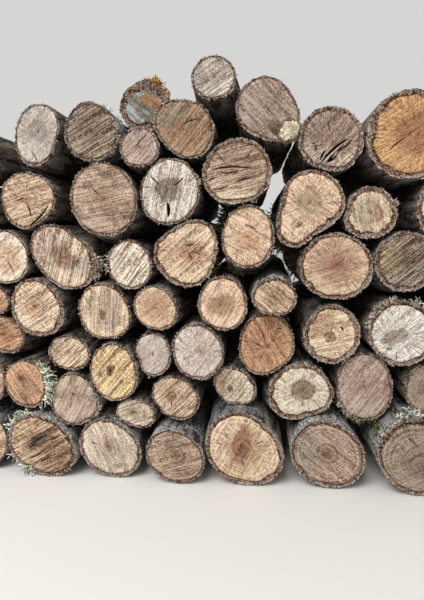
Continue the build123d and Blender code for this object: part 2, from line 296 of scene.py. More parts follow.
def cut_material(name, tone, middle, mean_radius, turn, heart=0.35, saw=0.5, fan=0.2, stain=0.3,
                 rings=0.15, marks=()):
    """A sawn end: its heart's width, saw lines, rays, stain and rings each from 0 to 1, and its marks."""
    sap, core, weathered = (paint(part) for part in TONES[tone])
    made, tree, shader = material(name, 0.85)
    place = shade(tree, "TexCoord", output="Object")
    from_pith = shade(tree, "UVMap", uv_map="cut")
    ring = shade(tree, "SeparateXYZ", shade(tree, "UVMap", uv_map="ring"))
    radius = shade(tree, "VectorMath", from_pith, operation="LENGTH", output="Value")
    patches = grain(tree, place, 24, 3, 0.6)
    specks = grain(tree, place, 230, 2, 0.8)
    growth = grain(tree, sums(tree, "MULTIPLY_ADD", patches, 0.012, radius), 210, 1, 0.6, dimensions=1)
    rays, splits = rays_and_splits(tree, from_pith, radius)
    lines, gouges, bands = saw_lines(tree, place, patches, middle, turn)

    # The wood's own colour, with its heart, weather stains and marks
    lobes = sums(tree, "MULTIPLY_ADD", patches, 0.6 * mean_radius, radius)
    in_heart = rise(tree, lobes, (heart + 0.1) * mean_radius, (heart + 0.5) * mean_radius, 0.9, 0)
    colour = blend(tree, in_heart, sap, core)
    stained = rise(tree, patches, 0.68 - 0.45 * stain, 0.8 - 0.3 * stain, 0, 0.7)
    colour = blend(tree, stained, colour, weathered)
    for mark in marks:
        colour = marked(tree, colour, place, middle, mark)

    # All the fine grain adds up to one light and dark pattern: partly the grain's own tone, and partly
    # painted light and shade on the fine relief that the same pattern gives the cut
    clear_of_pith = rise(tree, radius, 0.1 * mean_radius, 0.4 * mean_radius)
    faded_rays = sums(tree, "SUBTRACT", rise(tree, rays, 0.4, 0.6), 0.5)
    faded_rays = sums(tree, "MULTIPLY_ADD", faded_rays, clear_of_pith, 0.5)
    layers = (
        (rise(tree, lines, 0.4, 0.56), 0.25 + 0.85 * saw),
        (faded_rays, 0.3 + 0.45 * fan),
        (rise(tree, specks, 0.42, 0.58), 0.4 + 0.5 * saw),
        (rise(tree, growth, 0.4, 0.6), rings),
        (rise(tree, bands, 0.35, 0.65), 0.3),
    )
    pattern = 0.5 - sum(weight for _, weight in layers) / 2
    for layer, weight in layers:
        pattern = sums(tree, "MULTIPLY_ADD", layer, weight, pattern)
    # Painted light and shade: a darker, shaded copy and a lighter, lit copy of the wood's colour, mixed by
    # that pattern
    dark = blend(tree, 0.72 + 0.28 * saw, colour, paint("987c64"), "MULTIPLY")
    lit_copy = blend(tree, 1.0, colour, (1.2, 1.2, 1.2, 1), "MULTIPLY")
    light = blend(tree, 0.13, lit_copy, paint("fff0d8"))
    colour = blend(tree, rise(tree, pattern, -0.35, 1.2), dark, light)

    # Painted shade: thin dark lines stand for the shade in gouges, in some bands of the cut, and in fine
    # splits, in some patches away from the pith
    gouge_shade = rise(tree, winding_lines(tree, gouges), 0.01, 0.045, 0.1 + 0.65 * saw, 0)
    gouge_shade = sums(tree, "MULTIPLY", gouge_shade, rise(tree, bands, 0.42, 0.52))
    colour = blend(tree, gouge_shade, colour, paint("4a3323"))
    whole = 0.55 - 0.25 * fan
    split_shade = rise(tree, winding_lines(tree, splits), 0.006, 0.022, 0.65, 0)
    split_shade = sums(tree, "MULTIPLY", split_shade, rise(tree, patches, whole, whole + 0.08))
    split_shade = sums(tree, "MULTIPLY", split_shade, clear_of_pith)
    colour = blend(tree, split_shade, colour, paint("4a3020"))

    # The last wood under the bark is darker, and the pith is a dark point
    colour = blend(tree, rise(tree, ring, 0.93, 1.0, 0, 0.5), colour, core, "MULTIPLY")
    colour = blend(tree, rise(tree, radius, 0.0015, 0.004, 0.7, 0), colour, paint("4c2f1c"))
    coat(tree, shader, colour, pattern, 0.001)
    return made


def rolled_sheet():
    """A flat sheet, one column for each strip round a log and one row for each ring of it."""
    rings = [(0, ring) for ring in NEAR_RINGS]
    rings += [(along, 2) for along in BARK_RINGS]
    rings += [(1, ring) for ring in FAR_RINGS]
    sheet = bmesh.new()
    bmesh.ops.create_grid(sheet, x_segments=STRIPS, y_segments=len(rings) - 1, size=0.5)
    places = []
    for vertex in sheet.verts:
        column = round((vertex.co.x + 0.5) * STRIPS)
        row = round((vertex.co.y + 0.5) * (len(rings) - 1))
        places.append((column, row))
    return sheet, rings, places


SHEET, RINGS, PLACES = rolled_sheet()
DIRECTIONS = [Vector((math.cos(2 * math.pi * strip / STRIPS), 0, math.sin(2 * math.pi * strip / STRIPS)))
              for strip in range(STRIPS)]


SAME_PLACE = 1e-6  # corners closer than this are one


def solids_of(node):
    """Each closed solid of a CAD node: its surface to cast rays at, and its corners."""
    body = bmesh.new()
    body.from_mesh(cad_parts[node].data)
    bmesh.ops.remove_doubles(body, verts=body.verts, dist=SAME_PLACE)
    waiting = set(body.verts)
    corners = []
    while waiting:
        found = {waiting.pop()}
        newest = list(found)
        while newest:
            beyond = {side.other_vert(vertex) for vertex in newest for side in vertex.link_edges}
            newest = [vertex for vertex in beyond if vertex not in found]
            found.update(newest)
        waiting -= found
        low = Vector([min(vertex.co[axis] for vertex in found) for axis in range(3)])
        high = Vector([max(vertex.co[axis] for vertex in found) for axis in range(3)])
        corners.append((low, high))
    surface = BVHTree.FromBMesh(body)
    body.free()
    corners.sort(key=lambda solid: solid[0].z)
    return [(surface, low, high) for low, high in corners]


def cut_plane(surface, middle, start, way):
    """Where a saw cut crosses the middle of the log, and how the cut leans across it."""
    point, normal, _, _ = surface.ray_cast(Vector((middle[0], start, middle[1])), Vector((0, way, 0)))
    return point.y, -normal.x / normal.y, -normal.z / normal.y


# How close the patterns of the bark lie: its ridges, the gaps across them and the small breaks
RIDGES_ROUND = 46
RIDGES_ALONG = 9
GAPS_ROUND = 30
GAPS_ALONG = 46
BREAKS = 210


def bark_set_back(point, seed):
    """How far the bark stands back from its highest ridges, as a share of the furrows' depth."""
    spot = Vector((point.x * RIDGES_ROUND, point.y * RIDGES_ALONG, point.z * RIDGES_ROUND))
    spot += Vector((seed, seed * 2.3, 0))
    ridged = abs(noise.noise(spot)) * 2.2
    small = abs(noise.noise(spot * 2.7)) * 0.9
    gap_spot = Vector((point.x * GAPS_ROUND, point.y * GAPS_ALONG, point.z * GAPS_ROUND + seed))
    gaps = max(0, noise.noise(gap_spot)) * 0.6
    return min(1, max(0, 1 - ridged - small * 0.5 + gaps) * 0.8)


SWELLS = 2.4  # how often the bark swells round the log
RIPPLES = 14  # how often the line between bark and wood ripples
RIPPLE = 0.0007  # and how far


def bark_thickness(strip, along, thickness, seed, scar):
    """The bark's thickness at one strip, and more at a scar, given as (direction, width, depth)."""
    shift = Vector((seed, 0, along))
    bark = thickness * (0.8 + 0.8 * abs(noise.noise(DIRECTIONS[strip] * SWELLS + shift)))
    bark += RIPPLE * noise.noise(DIRECTIONS[strip] * RIPPLES + shift)
    if scar:
        toward, spread, depth = scar
        away = math.degrees(DIRECTIONS[strip].angle(DIRECTIONS[round(toward * STRIPS / 360) % STRIPS]))
        bark += depth / MM * math.exp(-(away / spread) ** 2)
    return bark


# How close the waves of a saw cut and the crumbs of sawn bark lie, and how high a crumb is
LONG_WAVES = 16
SHORT_WAVES = 55
CRUMBS = 140
CRUMB = 0.0014


def unevenness(point, across, seed, wave):
    """How far a saw cut lies behind its plane: deepest in the dark line between wood and bark."""
    uneven = noise.noise(point * LONG_WAVES + Vector((seed, 0, 0))) * wave
    uneven += noise.noise(point * SHORT_WAVES + Vector((seed, 0, 0))) * wave * 0.35
    if 1 < across < 2:
        uneven += (noise.noise(point * CRUMBS) + 0.4) * CRUMB
    if across == GROOVE_RING:
        uneven += GROOVE
    return abs(uneven) if across == 2 else uneven + wave


OUTSIDE = 0.05  # a ray that looks for a cut starts this far in front of it
INSET = 0.004  # a log's outline is measured this far behind its cut


def log_mesh(surface, low, high, pith, seed, wave, thickness, scar):
    """One log on its CAD solid: its mesh, its near cut's middle, its mean radius and that cut's depth."""
    middle = ((low.x + high.x) / 2, (low.z + high.z) / 2)
    near, near_x, near_z = cut_plane(surface, middle, low.y - OUTSIDE, 1)
    far, far_x, far_z = cut_plane(surface, middle, high.y + OUTSIDE, -1)

    # The log's outline, from its middle to the outside of the bark in each direction
    depths = [near + INSET + (far - near - 2 * INSET) * along for along, _ in RINGS]
    reaches = {}
    for depth, (along, _) in zip(depths, RINGS):
        if along not in reaches:
            start = Vector((middle[0], depth, middle[1]))
            reaches[along] = [surface.ray_cast(start, direction)[3] for direction in DIRECTIONS]
    rim = [direction * reach for direction, reach in zip(DIRECTIONS, reaches[0])]
    sides = [point.x for point in rim]
    heights = [point.z for point in rim]
    off_middle = ((max(sides) + min(sides)) / 2, (max(heights) + min(heights)) / 2)
    cut_middle = (middle[0] + off_middle[0], middle[1] + off_middle[1])
    pith_place = (off_middle[0] + pith[0] / MM, off_middle[1] + pith[1] / MM)
    mean = sum(reaches[0]) / STRIPS

    # The sheet rolled round that outline, with the wood inside the bark and the rings about the pith
    mesh = SHEET.copy()
    from_pith = mesh.loops.layers.uv.new("cut")
    ring_number = mesh.loops.layers.uv.new("ring")
    shares = []
    backs = []
    for vertex, (column, row) in zip(mesh.verts, PLACES):
        strip = column % STRIPS
        along, across = RINGS[row]
        full = reaches[along][strip]
        bark = bark_thickness(strip, along, thickness, seed, scar)
        outer = Vector((middle[0], depths[row], middle[1])) + DIRECTIONS[strip] * full
        back = bark_set_back(outer, seed)
        backs.append(back)
        furrow = FURROW * back + RAGGED * abs(noise.noise(outer * BREAKS))
        wood = full - bark
        if across <= 1:
            share = across * wood / full
            distance = share * full
            inward = 1 - distance / full
        else:
            share = 1
            distance = wood + (across - 1) * (bark - furrow)
            inward = 0
        shares.append(share)
        flat = DIRECTIONS[strip] * distance
        flat_x = flat.x + pith_place[0] * inward
        flat_z = flat.z + pith_place[1] * inward
        near_depth = near + near_x * flat_x + near_z * flat_z
        far_depth = far + far_x * flat_x + far_z * flat_z
        depth = near_depth * (1 - along) + far_depth * along
        point = Vector((middle[0] + flat_x, depth, middle[1] + flat_z))
        if along == 0:
            point.y += unevenness(point, across, seed, wave)
        elif along == 1:
            point.y -= unevenness(point, across, seed, wave)
        vertex.co = point

    # Wood inside the dark line, sawn bark outside it, and bark between the two cuts
    first_far_row = len(RINGS) - len(FAR_RINGS)
    last_wood_row = NEAR_RINGS.index(GROOVE_RING) - 1
    first_wood_row = first_far_row + FAR_RINGS.index(GROOVE_RING) - 1
    for face in mesh.faces:
        row = min(PLACES[vertex.index][1] for vertex in face.verts)
        if row < last_wood_row or row > first_wood_row:
            face.material_index = CUT_FACE
        elif row < len(NEAR_RINGS) - 1 or row >= first_far_row:
            face.material_index = RIM_FACE
        else:
            face.material_index = BARK_FACE
        face.smooth = True
        for loop in face.loops:
            column, row = PLACES[loop.vert.index]
            share = shares[loop.vert.index] * mean
            direction = DIRECTIONS[column % STRIPS]
            loop[from_pith].uv = (direction.x * share, direction.z * share)
            loop[ring_number].uv = (RINGS[row][1], backs[loop.vert.index])
    bmesh.ops.remove_doubles(mesh, verts=mesh.verts, dist=SAME_PLACE)
    bmesh.ops.recalc_face_normals(mesh, faces=mesh.faces)
    return mesh, cut_middle, mean, near


SHALLOWEST_CRACK = 0.012
DEEPEST_CRACK = 0.045
CUTTER_IN_FRONT = 0.012  # how far the cutter of a crack stands out of the cut
CRACK_SLOPE = 2500  # millimetres of a crack's length that make it a metre deeper
CRACK_BEND = 0.06  # how far a crack bends, as a share of its length


def wedges_for(cracks, middle, near):
    """One long tapered wedge for each drying crack, given as (across, up, to across, to up, width)."""
    wedges = bmesh.new()
    for number, (x1, z1, x2, z2, width) in enumerate(cracks):
        length = math.hypot(x2 - x1, z2 - z1)
        made = bmesh.ops.create_cone(wedges, cap_ends=True, segments=12, radius1=1, radius2=0.1,
                                     depth=1)["verts"]
        half_length = length / (2 * MM)
        deep = min(DEEPEST_CRACK, SHALLOWEST_CRACK + length / CRACK_SLOPE) + CUTTER_IN_FRONT
        bmesh.ops.scale(wedges, verts=made, vec=(half_length, width / (2 * MM), deep))
        bend = length / MM * CRACK_BEND * (1 if number % 2 else -1)
        for vertex in made:
            vertex.co.y += bend * (1 - (vertex.co.x / half_length) ** 2)
            vertex.co.z += deep / 2 - CUTTER_IN_FRONT
        # The wedge's long way lies in the cut, and its depth goes into the log
        turn = Matrix.Rotation(-math.atan2(z2 - z1, x2 - x1), 4, "Y")
        turn = turn @ Matrix.Rotation(-math.pi / 2, 4, "X")
        place = Vector((middle[0] + (x1 + x2) / (2 * MM), near, middle[1] + (z1 + z2) / (2 * MM)))
        bmesh.ops.transform(wedges, verts=made, matrix=Matrix.Translation(place) @ turn)
    for face in wedges.faces:
        face.material_index = CRACK_FACE
    return wedges


CHIPS = 60  # loose chips of bark round the rim of a cut
CHIP_ROOT = 0.0014  # half the width of a chip at its root
CHIP_TIP = 0.0004  # and at its tip
CHIP_RAY = 0.006  # the log's outline under the chips is measured this far behind the cut
# The least and the most of a chip's length, of its place inside the bark's outline and behind the cut
CHIP_LENGTHS = (0.003, 0.008)
CHIP_INSIDE = (0.001, 0.004)
CHIP_BEHIND = (-0.0005, 0.005)


def chips_of(surface, middle, near, seed):
    """The loose chips of bark that the chain left round the rim of a cut."""
    rng = random.Random(seed)
    chips = bmesh.new()
    chips.loops.layers.uv.new("cut")
    ring_number = chips.loops.layers.uv.new("ring")
    for _ in range(CHIPS):
        direction = DIRECTIONS[rng.randrange(STRIPS)]
        start = Vector((middle[0], near + CHIP_RAY, middle[1]))
        reach = surface.ray_cast(start, direction)[3]
        made = bmesh.ops.create_cone(chips, cap_ends=True, segments=4, radius1=CHIP_ROOT, radius2=CHIP_TIP,
                                     depth=rng.uniform(*CHIP_LENGTHS))["verts"]
        lean = Matrix.Rotation(rng.uniform(-0.7, 0.7), 4, "Y")
        lean = lean @ Matrix.Rotation(rng.uniform(-0.5, 0.9), 4, "X")
        outward = direction.to_track_quat("Z", "Y").to_matrix().to_4x4()
        place = start + direction * (reach - rng.uniform(*CHIP_INSIDE))
        place.y = near + rng.uniform(*CHIP_BEHIND)
        bmesh.ops.transform(chips, verts=made, matrix=Matrix.Translation(place) @ outward @ lean)
    for face in chips.faces:
        face.material_index = RIM_FACE
        for loop in face.loops:
            loop[ring_number].uv = (1.9, 0)
    return chips


def as_object(name, mesh, materials):
    """A new object in the scene from a bmesh, which it frees."""
    data = bpy.data.meshes.new(name)
    mesh.to_mesh(data)
    mesh.free()
    for each in materials:
        data.materials.append(each)
    made = bpy.data.objects.new(name, data)
    bpy.context.scene.collection.objects.link(made)
    return made


def join(parts):
    """Joins objects into the first of them."""
    with bpy.context.temp_override(active_object=parts[0], selected_editable_objects=parts):
        bpy.ops.object.join()


def carve(log, wedges, materials):
    """Cuts wedges out of a log, to leave its drying cracks."""
    cutter = as_object("wedges", wedges, materials)
    cutting = log.modifiers.new("cracks", "BOOLEAN")
    cutting.object = cutter
    cutting.operation = "DIFFERENCE"
    cutting.solver = "MANIFOLD"
    solved = bpy.data.meshes.new_from_object(log.evaluated_get(bpy.context.evaluated_depsgraph_get()))
    log.modifiers.clear()
    log.data = solved
    bpy.data.objects.remove(cutter)


# What lies on the bark and the cuts later on asks here for each log's surface, middle and near cut
laid = {}
NEXT_TURN = 23  # degrees by which the saw lines turn from one log of a node to the next


def lay(node, tones, pith=(0, 0), turn=40, wave=WAVE, bark=DARK_BARK, thickness=BARK, scar=None, cracks=(),
        **look):
    """Dresses one CAD node as a log, or as several of different woods where the node holds several."""
    joined = []
    for number, (surface, low, high) in enumerate(solids_of(node)):
        # Each log's own number, so that no two have the same bark
        seed = low.x * 31 + low.z * 17
        mesh, middle, mean, near = log_mesh(surface, low, high, pith, seed, wave, thickness, scar)
        tone = tones if isinstance(tones, str) else tones[number]
        wood = cut_material(f"{node}_{number}_cut", tone, middle, mean, turn + NEXT_TURN * number, **look)
        materials = (wood, BARK_EDGE, bark, CRACK)
        name = f"{node}_wood"
        log = as_object(name if number == 0 else f"{name}_{number}", mesh, materials)
        if cracks:
            carve(log, wedges_for(cracks, middle, near), materials)
        laid[node] = (surface, middle, near)
        joined += [log, as_object("chips", chips_of(surface, middle, near, seed), materials)]
    join(joined)
    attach(joined[0], "root")
    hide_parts(node)


lay("floor_log_2", "tan", pith=(30, -4), turn=35, bark=LICHEN_BARK)
lay("floor_log_3", "tan", pith=(-14, 8), saw=0.9, turn=30, stain=0.2, bark=LICHEN_BARK, thickness=0.009,
    cracks=((-31, -9, -8, 5, 4), (12, 11, 49, 31, 4), (-24, 2, 20, 27, 4), (-40, -34, 10, -8, 3),
            (-10, -44, 26, -24, 3)),
    marks=((34, -14, 70, 60, 30, "8d6240", 0.6), (20, -42, 70, 36, 30, "7c5638", 0.5),
           (0, 16, 80, 22, 30, "4a301f", 0.8), (-8, 8, 44, 16, 30, "2f1d12", 0.7)))
lay("floor_log_4", "ash", pith=(-5, 3), saw=0.35, turn=-70, bark=LICHEN_BARK, thickness=0.009,
    cracks=((-49, 13, -23, 3, 2.5),),
    marks=((-5, 3, 20, 26, 0, "8d6a4a", 0.7), (17, -39, 20, 12, 20, "7d6446", 0.6)))
lay("floor_log_5", "brown", pith=(0, 6), heart=0.2, turn=15, stain=0.5, rings=0.6, bark=LICHEN_BARK,
    marks=((-30, -25, 60, 50, 0, "c3ad8e", 0.55),))
lay("floor_log_6", "cream", pith=(-4, 2), heart=0.3, saw=0.2, fan=0.3, turn=60, stain=0.2, rings=0.4,
    bark=LICHEN_BARK, thickness=0.010, cracks=((19, 7, 45, 19, 3), (-5, -20, 3, -44, 3)),
    marks=((0, -6, 84, 110, -10, "b08a5e", 0.5), (-4, 6, 34, 76, -10, "8f5a36", 0.85),
           (-4, -4, 16, 30, 0, "5a3320", 0.8)))
lay("floor_log_7", "brown", pith=(-2, 2), heart=0.25, saw=0.4, turn=-40, stain=0.4, rings=0.6,
    bark=LICHEN_BARK, thickness=0.009, marks=((-52, 0, 56, 130, 0, "8b8378", 0.7),))
lay("floor_log_8", "umber", pith=(8, -20), saw=0.2, turn=30, stain=0.4, rings=0.5, bark=LICHEN_BARK,
    thickness=0.010, cracks=((-30, 44, 0, 16, 2.5),), marks=((8, -20, 60, 50, 0, "76605f", 0.5),))

# The second row of logs
# Logs of mixed thickness, each laid in the hollow between two logs of the bottom row.
# Only their own weight holds them: nothing is nailed, tied or staked.
lay("second_row_log_2", "tan")
lay("second_row_log_3", "orange", pith=(-9, 12), saw=0.4, turn=-55,
    marks=((-9, 12, 15, 13, 0, "5e3c26", 0.8),))
lay("second_row_log_4", "dusty", pith=(-4, 14), heart=0.2, saw=0.35, turn=60, stain=0.5, bark=LICHEN_BARK,
    cracks=((-13, -23, -3, -3, 2.5), (-8, 18, 2, 6, 2.5)), marks=((-20, 36, 60, 20, 10, "c9b08c", 0.5),))
lay("second_row_log_5", "ash", pith=(-7, 4), turn=15, stain=0.1,
    marks=((-7, 4, 14, 10, 0, "765638", 0.7),))
lay("second_row_log_6", "cream", pith=(-10, 2), saw=0.7, stain=0.15, cracks=((-10, -4, -10, -22, 4),),
    marks=((-10, 4, 20, 20, 0, "86654c", 0.7),))
lay("second_row_log_7", "ivory", pith=(-10, -8), heart=0.15, turn=50, stain=0.1,
    marks=((-32, 0, 22, 60, 0, "c9935e", 0.6), (-8, -4, 60, 56, 0, "a9896e", 0.4),
           (-10, -8, 12, 15, 20, "5d4132", 0.8)))
lay("second_row_log_8", "ivory", pith=(5, 4), heart=0.05, saw=0.1, fan=0.8, turn=30, stain=0.1, rings=0.4,
    thickness=0.010, cracks=((5, -14, 3, -34, 3), (22, 22, 16, 14, 3)),
    marks=((5, 4, 46, 46, 0, "8a765f", 1), (5, 2, 20, 22, 0, "7a6654", 0.8)))
lay("second_row_log_9", "mauve", heart=0.2, saw=0.35, turn=55, marks=((48, 0, 20, 90, 0, "8b5a44", 0.5),))
lay("second_row_log_10", "umber", saw=0.1)

# The third row of logs
# Mixed woods: one cut is nearly white, one is yellow and two are pinkish.
# One has dried into a star of fine cracks, and the thin ones fill the hollows between the others.
lay("third_row_log_2", "orange", saw=0.65, turn=20)
lay("third_row_log_3", "cream", pith=(-2, 2), heart=0.1, saw=0.65)
lay("third_row_log_4", "yellow", pith=(-7, 4), heart=0.15, saw=0.8, turn=48, stain=0.1,
    cracks=((-9, -4, -4, 11, 4),),
    marks=((-7, 4, 15, 24, -20, "573a24", 0.85), (-30, -5, 8, 13, 10, "6a4a2c", 0.75)))
lay("third_row_log_5", "pink", heart=0.12, saw=0.15, fan=0.3, stain=0.05)
lay("third_row_log_6", "pink", pith=(5, 1), heart=0.15, saw=0.15, fan=0.5, turn=50, stain=0.1,
    cracks=((-35, -19, -15, -9, 2.5),),
    marks=((-34, 10, 44, 80, 0, "e0d6cc", 0.7), (6, 1, 20, 18, 0, "b08878", 0.6)))
lay("third_row_log_7", "orange", pith=(2, -5), heart=0.2, saw=0.25, fan=1.0, turn=120, stain=0.1,
    cracks=((16, 33, 36, 31, 3.5), (18, 28, 32, 26, 3), (6, 7, 20, 6, 2.5), (0, -4, -18, 36, 2.5),
            (0, -8, -30, 8, 2.5), (-2, -12, -14, -40, 2)),
    marks=((0, 6, 80, 100, 0, "b8805a", 0.6), (2, -5, 16, 14, 0, "7a4426", 0.7)))
lay("third_row_log_8", "cream", pith=(-4, -6), heart=0.1, saw=0.35, turn=10, stain=0.1, rings=0.3,
    thickness=0.011, cracks=((14, 18, 24, 4, 7), (-3, 0, 0, 24, 2.5)),
    marks=((-22, 20, 60, 44, 20, "ac8560", 0.7), (-4, -6, 24, 20, 0, "7f5f42", 0.85),
           (-38, -8, 7, 8, 0, "6a5040", 0.75)))
lay("third_row_log_9", "white", pith=(-12, -8), heart=0.0, saw=0.25, fan=0.9, turn=42, stain=0.05,
    thickness=0.010, cracks=((-28, -32, -20, -32, 4),),
    marks=((0, 0, 140, 140, 0, "f1ede4", 0.6), (-12, -8, 44, 30, 30, "8a7e70", 0.9),
           (-22, -32, 12, 7, 0, "7b6a5c", 0.75)))

# The fourth row of logs
# Logs of much the same thickness, laid over the gaps of the row below.
# Their hearts show as round brown stains in the paler sapwood.
lay("fourth_row_log_2", "orange", turn=30)
lay("fourth_row_log_3", "cream", pith=(-7, 2), saw=0.55, turn=30, rings=0.35, thickness=0.009,
    cracks=((-14, 5, 0, -1, 3),))
lay("fourth_row_log_4", "cream", pith=(-2, -6), heart=0.15, saw=0.4, turn=85, stain=0.35,
    marks=((8, 6, 44, 100, 0, "9c8f83", 0.6), (-4, -8, 12, 22, 0, "5b3b2a", 0.85)))
lay("fourth_row_log_5", "peach", heart=0.3, saw=0.15, stain=0.1,
    marks=((-2, 2, 62, 62, 0, "b28669", 0.6),))
lay("fourth_row_log_6", "peach", pith=(-4, -4), heart=0.15, saw=0.3, turn=60, stain=0.15,
    marks=((-4, -4, 50, 42, 0, "8f6a4b", 0.7),))
lay("fourth_row_log_7", "tan", saw=0.65, turn=-40, stain=0.2, bark=LICHEN_BARK)
lay("fourth_row_log_8", "tan", pith=(0, 4), heart=0.2, saw=0.15, fan=0.5, turn=18, stain=0.1,
    thickness=0.009, cracks=((-12, -28, -8, -18, 3), (-2, 2, 20, 24, 2)),
    marks=((0, 4, 84, 74, 0, "a06e5e", 0.55), (0, 4, 30, 30, 0, "7e4634", 0.6)))
lay("fourth_row_log_9", "umber", saw=1.0, turn=38, stain=0.5, thickness=0.009, bark=LICHEN_BARK,
    marks=((-30, 10, 50, 60, 0, "a5936a", 0.6), (20, -25, 60, 40, 30, "8f8b84", 0.6),
           (10, 10, 60, 20, 38, "4a382b", 0.5)))

# The fifth row of logs
# Two of them are uneven: one has a torn flank, and one is pear-shaped, from close to a fork.
# The small ones between them are pale sapwood nearly all through.
lay("fifth_row_log_2", "ivory", heart=0.1, saw=0.25, fan=0.4, stain=0.1,
    cracks=((5, 3, 23, 15, 2.5), (7, 0, 27, -38, 2.5)), marks=((10, -4, 50, 60, 0, "c8a283", 0.7),))
lay("fifth_row_log_3", "dusty", heart=0.25, saw=0.7, turn=75, scar=(-10, 32, 13),
    marks=((0, 4, 44, 50, 0, "8a6248", 0.75), (26, -12, 10, 15, -30, "3f2b1f", 0.85),
           (26, 20, 44, 30, -50, "e6d6bd", 0.8), (0, -42, 70, 30, -20, "e6d3b6", 0.8)))
lay("fifth_row_log_4", "ivory", heart=0.05, saw=0.85, turn=52, stain=0.1)
lay("fifth_row_log_5", "cream", pith=(14, 4), heart=0.15, stain=0.1, thickness=0.008,
    cracks=((-5, 14, 23, 18, 4), (7, 8, 17, -16, 3.5), (10, 6, 34, -4, 3)),
    marks=((16, 2, 52, 42, 0, "8c523c", 0.75), (-10, -6, 90, 70, 0, "caa077", 0.4)))
lay("fifth_row_log_6", "peach", heart=0.1, saw=0.3, fan=0.5, turn=-32, stain=0.05,
    cracks=((-12, 26, 22, 8, 2.5),), marks=((0, -10, 40, 40, 0, "c08460", 0.5),))
lay("fifth_row_log_7", "peach", pith=(-4, 12), heart=0.1, saw=0.25, fan=0.7, turn=-40, stain=0.1,
    thickness=0.010, cracks=((-28, -38, -16, -30, 2.5),),
    marks=((-4, 14, 42, 56, -20, "8f8064", 0.7), (-22, -30, 18, 9, 40, "96684a", 0.7)))
lay("fifth_row_log_8", "cream", heart=0.1, saw=0.35, fan=0.5, turn=-80, rings=0.3, stain=0.15,
    thickness=0.012, marks=((-8, 4, 54, 54, 0, "998f76", 0.6), (14, 0, 20, 30, 0, "a46a4c", 0.5)))
lay("fifth_row_log_9", "peach", saw=0.3, turn=30, thickness=0.012)

# The sixth row of logs
# Thick logs that dried fast after they were cut, so that their ends have split open.
# The widest splits are in the one with the grey cut and in the two on its right.
lay("sixth_row_log_1", "tan", turn=30)
lay("sixth_row_log_2", "tan", pith=(-6, 3), heart=0.15, saw=0.55, fan=0.4, turn=15, stain=0.1,
    cracks=((-8, 3, 5, -40, 4), (-8, -57, 48, -1, 5), (-2, 41, -4, 19, 2.5), (-38, 17, -18, 6, 2.5),
            (-30, -4, -4, 5, 4), (-48, -22, -22, -12, 2.5)),
    marks=((24, -36, 60, 24, 45, "c9b48c", 0.6),))
lay("sixth_row_log_3", "brown", heart=0.2, saw=0.4, turn=10, stain=0.5, cracks=((-29, 26, -4, 1, 3),))
lay("sixth_row_log_4", "grey", pith=(-5, 4), heart=0.05, saw=0.45, fan=0.5, turn=75, stain=0.05,
    cracks=((-7, -14, -5, -56, 10), (-41, 35, -17, 12, 4), (31, 33, 3, 8, 4)),
    marks=((-5, 4, 48, 46, 45, "7a6d60", 1), (-5, 2, 20, 20, 0, "6d6156", 0.7)))
lay("sixth_row_log_5", "brown", heart=0.1, saw=0.55, turn=12, stain=0.1, thickness=0.009,
    cracks=((-61, 2, 44, 3, 4), (-40, 0, 10, 0, 3), (-59, -21, -35, -10, 4), (-55, -35, -8, -24, 3.5),
            (-8, -23, 40, -12, 3), (-43, 43, -17, 13, 3), (33, 49, 11, 19, 2.5), (0, 60, 0, 34, 2)),
    marks=((0, 36, 170, 100, 0, "88705f", 0.6), (0, -50, 110, 40, 0, "dccbaf", 0.8)))
lay("sixth_row_log_6", "mauve", pith=(3, -6), heart=0.15, saw=0.45, fan=0.9, turn=45, stain=0.2,
    thickness=0.009,
    cracks=((-25, -52, 40, 6, 6), (-12, -46, 18, -18, 12), (-2, -42, 34, -8, 7), (6, -30, 44, 4, 4),
            (-20, -44, -8, -16, 6), (-3, -67, 21, -44, 4), (-29, -25, -24, -6, 4),
            (-40, -6, -26, -8, 3), (0, 8, -8, 44, 2)),
    marks=((28, -46, 60, 22, 45, "d0bdac", 0.7), (0, 20, 90, 60, 0, "7d6354", 0.5)))
lay("sixth_row_log_7", "honey", pith=(14, 0), saw=0.2, fan=0.6, turn=30, stain=0.1, thickness=0.012,
    cracks=((-42, -35, -6, -4, 3), (-6, -4, 2, 8, 2.5), (-74, -11, -53, -3, 3.5), (-20, 30, -2, 10, 2),
            (-4, 50, 6, 20, 2)), marks=((18, 4, 80, 80, 0, "94603a", 0.6),))

# The top row of logs
# The last logs on the stack, weathered grey and brown because nothing lies on them.
# One is set back behind the others, and overgrown with orange and blue-grey lichen.
lay("top_row_log_1", "grey", pith=(3, 8), heart=0.1, saw=0.05, fan=0.6, cracks=((-18, -26, 2, -60, 2.5),),
    marks=((0, 0, 90, 130, 0, "a39c92", 0.6), (3, 8, 36, 42, 0, "827d79", 0.75)))
lay("top_row_log_2", "umber", heart=0.2, saw=1.0, turn=28, wave=0.002, stain=0.2, bark=LICHEN_BARK,
    marks=((-10, 20, 110, 80, 28, "5d4a3e", 0.4),))
lay("top_row_log_3", "mauve", heart=0.2, saw=0.35, turn=45, cracks=((-12, -6, 20, 26, 2.5),))
lay("top_row_log_4", "brown", heart=0.3, turn=48, cracks=((-7, 6, 37, 20, 3),),
    marks=((0, 0, 150, 150, 0, "8c6946", 0.8), (-22, 30, 60, 36, 30, "7f766a", 0.7)))
lay("top_row_log_5", "mauve", heart=0.2, saw=0.45, turn=-45, stain=0.6,
    marks=((0, 0, 220, 220, 0, "8a7a6b", 0.45),))
lay("top_row_log_6", "grey", turn=30, stain=0.7)
lay("top_row_log_7", "overgrown", heart=0.2, saw=0.2, turn=-40, wave=0.005, stain=0.4, bark=LICHEN_BARK,
    thickness=0.016,
    marks=((-30, -14, 24, 40, 40, "b9c6cf", 0.6), (12, 14, 44, 22, -25, "9c6a22", 0.8),
           (30, 0, 20, 26, -25, "8a551d", 0.7), (-10, -34, 20, 8, 40, "cfd3d2", 0.6),
           (-8, 24, 16, 8, 0, "b2bcc2", 0.5), (4, -12, 22, 8, -40, "aab4bb", 0.5)))

